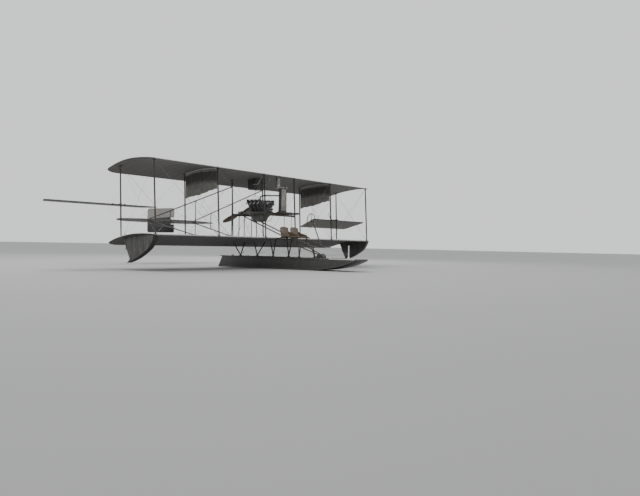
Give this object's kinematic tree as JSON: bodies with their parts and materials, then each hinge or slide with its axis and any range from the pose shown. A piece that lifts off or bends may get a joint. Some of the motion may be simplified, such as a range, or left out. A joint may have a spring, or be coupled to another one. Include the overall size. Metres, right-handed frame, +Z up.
{
  "type": "pusher biplane seaplane with a single central float",
  "caption": "Open pusher biplane on one long central float, with scoop floats under the wing tips, interplane ailerons, boom-mounted tail and side-by-side seats.",
  "frame": {"origin": "on the flat bottom of the main float, on the centreline, below the foot of the front struts", "axes": "+X towards the bow, +Y to port, +Z up"},
  "size_m": [8.9, 13.9, 2.8089],
  "materials": {
    "wing_cloth": "doped cloth, matt",
    "pale_cloth": "doped cloth, matt",
    "rudder_cloth": "doped cloth, matt",
    "curtain_cloth": "thin loose cloth",
    "strut_wood": "varnished spruce",
    "dark_wood": "varnished, oily",
    "seat_wood": "varnished",
    "propeller_wood": "varnished, gloss",
    "float_wood": "painted and varnished planking",
    "engine_metal": "oily, satin",
    "radiator_metal": "dull",
    "pipe_metal": "satin",
    "tank_metal": "dark paint, satin",
    "control_metal": "black, satin",
    "white_paint": "white paint"
  },
  "bodies": {
    "airframe": {"upper_wing": "wing_cloth", "lower_wing": "wing_cloth", "main_float": "float_wood", "engine": "engine_metal", "engine_bed": "dark_wood", "radiator": "radiator_metal", "water_pipe": "pipe_metal", "fuel_tank": "tank_metal", "foot_frame": "dark_wood", "foot_block": "float_wood", "control_column": "control_metal", "tail_plane": "wing_cloth", "rudder_post": "strut_wood", "bow_post": "white_paint", "side_curtain_port": "curtain_cloth", "tip_float_port": "float_wood", "seat_port": "seat_wood", "upper_boom_port": "strut_wood", "lower_boom_port": "strut_wood", "boom_post_front_port": "strut_wood", "front_strut_port_inner": "strut_wood", "front_strut_port_middle": "strut_wood", "front_strut_port_outer": "strut_wood", "boom_post_rear_port": "strut_wood", "rear_strut_port_inner": "strut_wood", "rear_strut_port_middle": "strut_wood", "rear_strut_port_outer": "strut_wood", "float_strut_rear_port": "strut_wood", "float_strut_middle_port": "strut_wood", "engine_brace_port": "dark_wood", "bed_post_inner_port": "dark_wood", "bed_post_outer_port": "dark_wood", "side_curtain_starboard": "curtain_cloth", "tip_float_starboard": "float_wood", "seat_starboard": "seat_wood", "upper_boom_starboard": "strut_wood", "lower_boom_starboard": "strut_wood", "boom_post_front_starboard": "strut_wood", "front_strut_starboard_inner": "strut_wood", "front_strut_starboard_middle": "strut_wood", "front_strut_starboard_outer": "strut_wood", "boom_post_rear_starboard": "strut_wood", "rear_strut_starboard_inner": "strut_wood", "rear_strut_starboard_middle": "strut_wood", "rear_strut_starboard_outer": "strut_wood", "float_strut_rear_starboard": "strut_wood", "float_strut_middle_starboard": "strut_wood", "engine_brace_starboard": "dark_wood", "bed_post_inner_starboard": "dark_wood", "bed_post_outer_starboard": "dark_wood"},
    "propeller": {"propeller": "propeller_wood"},
    "port_aileron": {"aileron_port": "pale_cloth"},
    "starboard_aileron": {"aileron_starboard": "pale_cloth"},
    "elevators": {"elevator_port": "wing_cloth", "elevator_starboard": "wing_cloth"},
    "rudder": {"rudder": "rudder_cloth"}
  },
  "joints": [
    {"name": "propeller_spin", "type": "hinge", "parent": "airframe", "child": "propeller", "pos_m": [-1.52, 0, 1.66], "axis": [1, 0, 0], "continuous": true},
    {"name": "port_aileron_hinge", "type": "hinge", "parent": "airframe", "child": "port_aileron", "pos_m": [-1.3, 4.869, 1.66], "axis": [0, 1, 0], "range_deg": [-6, 54]},
    {"name": "starboard_aileron_hinge", "type": "hinge", "parent": "airframe", "child": "starboard_aileron", "pos_m": [-1.3, -4.869, 1.66], "axis": [0, 1, 0], "range_deg": [-30, 30]},
    {"name": "elevator_hinge", "type": "hinge", "parent": "airframe", "child": "elevators", "pos_m": [-4.86, 0, 1.435], "axis": [0, 1, 0], "range_deg": [-25, 25]},
    {"name": "rudder_hinge", "type": "hinge", "parent": "airframe", "child": "rudder", "pos_m": [-4.74, 0, 1.465], "axis": [0, 0, 1], "range_deg": [-25, 25]}
  ]
}
